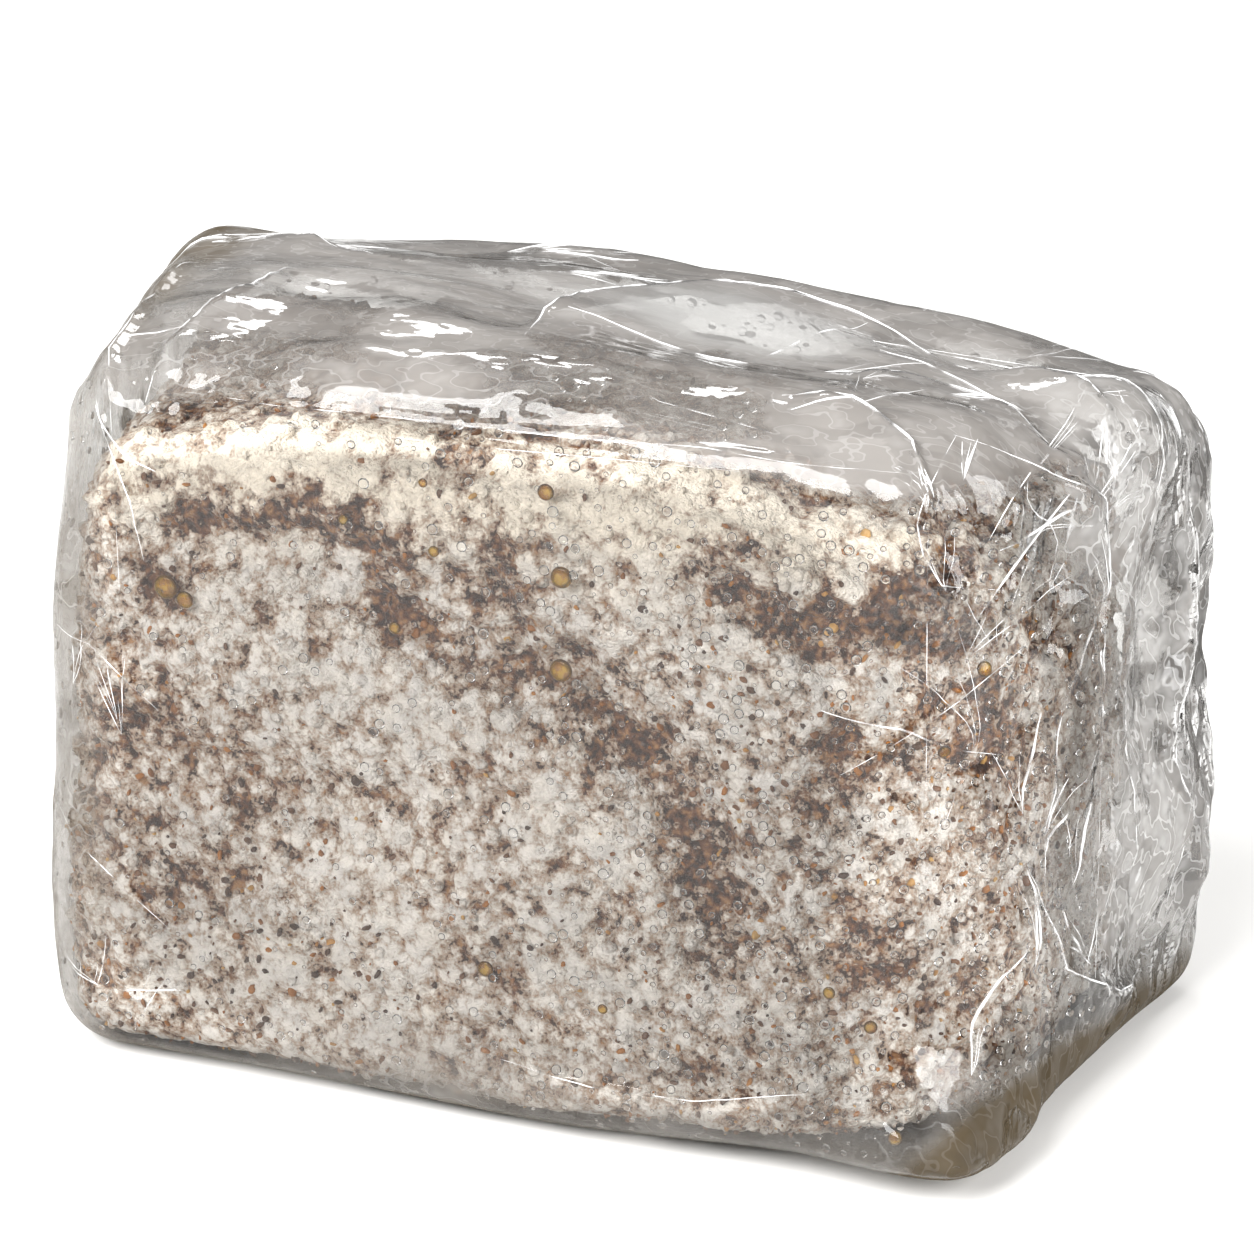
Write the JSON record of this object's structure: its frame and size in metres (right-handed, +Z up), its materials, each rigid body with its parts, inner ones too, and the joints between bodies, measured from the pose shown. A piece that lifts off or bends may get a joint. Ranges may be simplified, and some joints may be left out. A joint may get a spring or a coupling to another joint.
{
  "type": "mushroom grow block",
  "caption": "Landscape block of sawdust and wood chips grown through with white mycelium, in a loose clear film bag with its free end folded down behind.",
  "frame": {"origin": "middle of the whole object's footprint, on the surface it rests on", "axes": "+X along the block to the right seen from the front, +Y from front to back, +Z up"},
  "size_m": [0.2227, 0.1192, 0.1514],
  "materials": {
    "mycelium_substrate": "matt, crumbly, white mycelium over brown sawdust and chips",
    "clear_film": "clear glossy film, creased, with fine condensation inside"
  },
  "bodies": {
    "root": {"substrate_block": "mycelium_substrate", "bag": "clear_film"}
  },
  "joints": []
}
